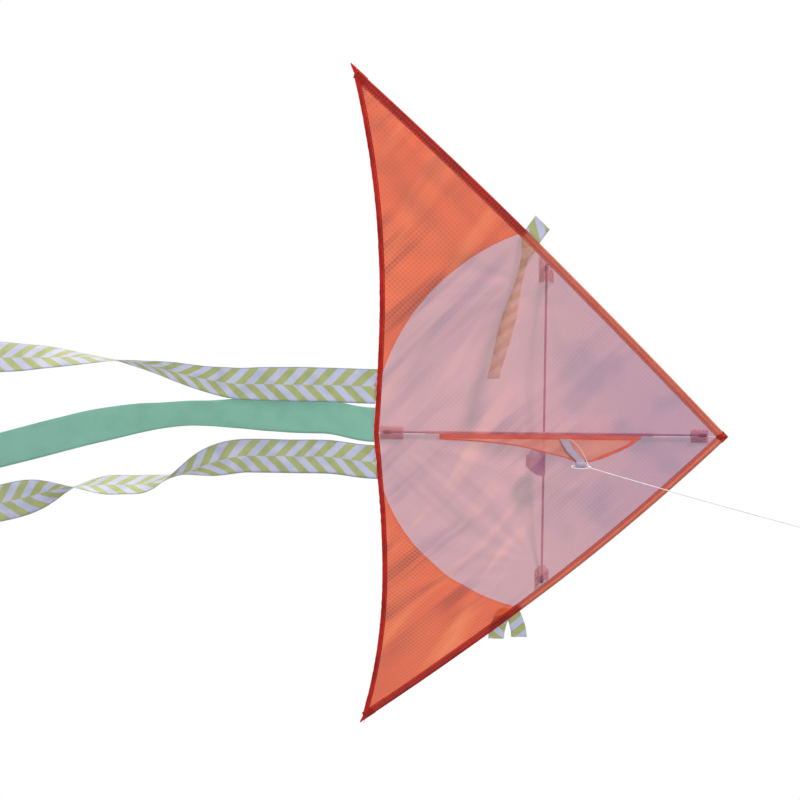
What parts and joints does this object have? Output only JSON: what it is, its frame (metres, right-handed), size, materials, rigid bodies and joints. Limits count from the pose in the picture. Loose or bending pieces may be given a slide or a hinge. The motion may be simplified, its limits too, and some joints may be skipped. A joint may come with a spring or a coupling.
{
  "type": "delta kite",
  "caption": "Delta kite with pink centre and orange tips, a red keel, a glass-fibre spreader, ribbon tails, side ribbons and its flying line.",
  "frame": {"origin": "the tow point, where the flying line pulls on the webbing loop at the keel's tip", "axes": "+Z towards the nose, along the spine; X across the wings, +X towards the right wing seen from the keel's side with the nose up; +Y from the keel's side to the back of the sail"},
  "size_m": [0.9804, 0.5359, 1.5347],
  "materials": {
    "pink": "ripstop sailcloth",
    "orange": "ripstop sailcloth",
    "red": "ripstop sailcloth",
    "coral": "ripstop sailcloth",
    "teal": "plain ripstop ribbon",
    "chevron": "printed ripstop ribbon with zigzag stripes",
    "webbing": "woven ribbon tape",
    "glass_fibre": "smooth drawn glass-fibre rod",
    "vinyl": "soft black vinyl",
    "line": "braided polyester line"
  },
  "bodies": {
    "keel": {"keel_panel": "coral", "keel_edge_hem": "red", "keel_root_band": "red", "tow_webbing": "webbing", "line_tow_loop": "line", "line_knot": "line", "flying_line": "line", "line_end_knot": "line", "line_end_loop": "line"},
    "spine": {"spine_rod": "glass_fibre", "spine_sleeve": "coral", "spine_front_cap": "vinyl", "spine_rear_cap": "vinyl", "nose_cover": "red", "nose_pocket": "pink", "tail_pocket": "pink", "spreader_rod": "glass_fibre"},
    "left_wing": {"left_centre_panel": "pink", "left_tip_panel": "orange", "left_trailing_hem": "red", "left_leading_edge_sleeve": "coral", "left_leading_edge_rod": "glass_fibre", "left_tip_patch": "red", "left_spreader_pocket": "pink", "left_spreader_cap": "vinyl"},
    "right_wing": {"right_centre_panel": "pink", "right_tip_panel": "orange", "right_trailing_hem": "red", "right_leading_edge_sleeve": "coral", "right_leading_edge_rod": "glass_fibre", "right_tip_patch": "red", "right_spreader_pocket": "pink", "right_spreader_cap": "vinyl"},
    "left_tail": {"left_tail": "chevron"},
    "centre_tail": {"centre_tail": "teal"},
    "right_tail": {"right_tail": "chevron"},
    "left_side_ribbon": {"left_side_ribbon": "chevron"},
    "left_ribbon_end": {"left_ribbon_end": "chevron"},
    "right_side_ribbon": {"right_side_ribbon": "chevron"},
    "spreader_tie": {"spreader_tie": "webbing"}
  },
  "joints": [
    {"name": "keel_swing", "type": "hinge", "parent": "keel", "child": "spine", "pos_m": [0, 0.0988, 0], "axis": [0, 0, 1], "range_deg": [-70, 70]},
    {"name": "left_wing_flex", "type": "hinge", "parent": "spine", "child": "left_wing", "pos_m": [0, 0.1, -0.049], "axis": [0, 0, -1], "range_deg": [-6, 10], "stiffness_Nm_per_rad": 1.2, "deforming": ["nose_cover", "nose_pocket", "tail_pocket", "spreader_rod"]},
    {"name": "right_wing_flex", "type": "hinge", "parent": "spine", "child": "right_wing", "pos_m": [0, 0.1, -0.049], "axis": [0, 0, 1], "range_deg": [-6, 10], "stiffness_Nm_per_rad": 1.2, "deforming": ["nose_cover", "nose_pocket", "tail_pocket", "spreader_rod"]},
    {"name": "left_tail_swing", "type": "hinge", "parent": "left_wing", "child": "left_tail", "pos_m": [-0.06697, 0.1018, -0.2758], "axis": [-1, 0, 0], "range_deg": [-80, 80]},
    {"name": "centre_tail_swing", "type": "hinge", "parent": "spine", "child": "centre_tail", "pos_m": [-0.012, 0.1, -0.2788], "axis": [-1, 0, 0], "range_deg": [-80, 80]},
    {"name": "right_tail_swing", "type": "hinge", "parent": "right_wing", "child": "right_tail", "pos_m": [0.04299, 0.10074, -0.2775], "axis": [-1, 0, 0], "range_deg": [-80, 80]},
    {"name": "left_side_ribbon_swing", "type": "hinge", "parent": "left_wing", "child": "left_side_ribbon", "pos_m": [-0.26625, 0.13174, -0.07126], "axis": [0.6859, -0.1415, 0.7138], "range_deg": [0, 90]},
    {"name": "left_ribbon_end_swing", "type": "hinge", "parent": "left_wing", "child": "left_ribbon_end", "pos_m": [-0.26625, 0.13174, -0.07126], "axis": [0.6859, -0.1415, 0.7138], "range_deg": [-40, 10], "stiffness_Nm_per_rad": 0.0008},
    {"name": "right_side_ribbon_swing", "type": "hinge", "parent": "right_wing", "child": "right_side_ribbon", "pos_m": [0.28539, 0.1357, -0.09126], "axis": [-0.6827, -0.143, 0.7166], "range_deg": [-10, 12], "stiffness_Nm_per_rad": 0.0012},
    {"name": "spreader_tie_swing", "type": "hinge", "parent": "spine", "child": "spreader_tie", "pos_m": [0.052, 0.12545, -0.049], "axis": [1, 0, 0], "range_deg": [-45, 80]}
  ]
}
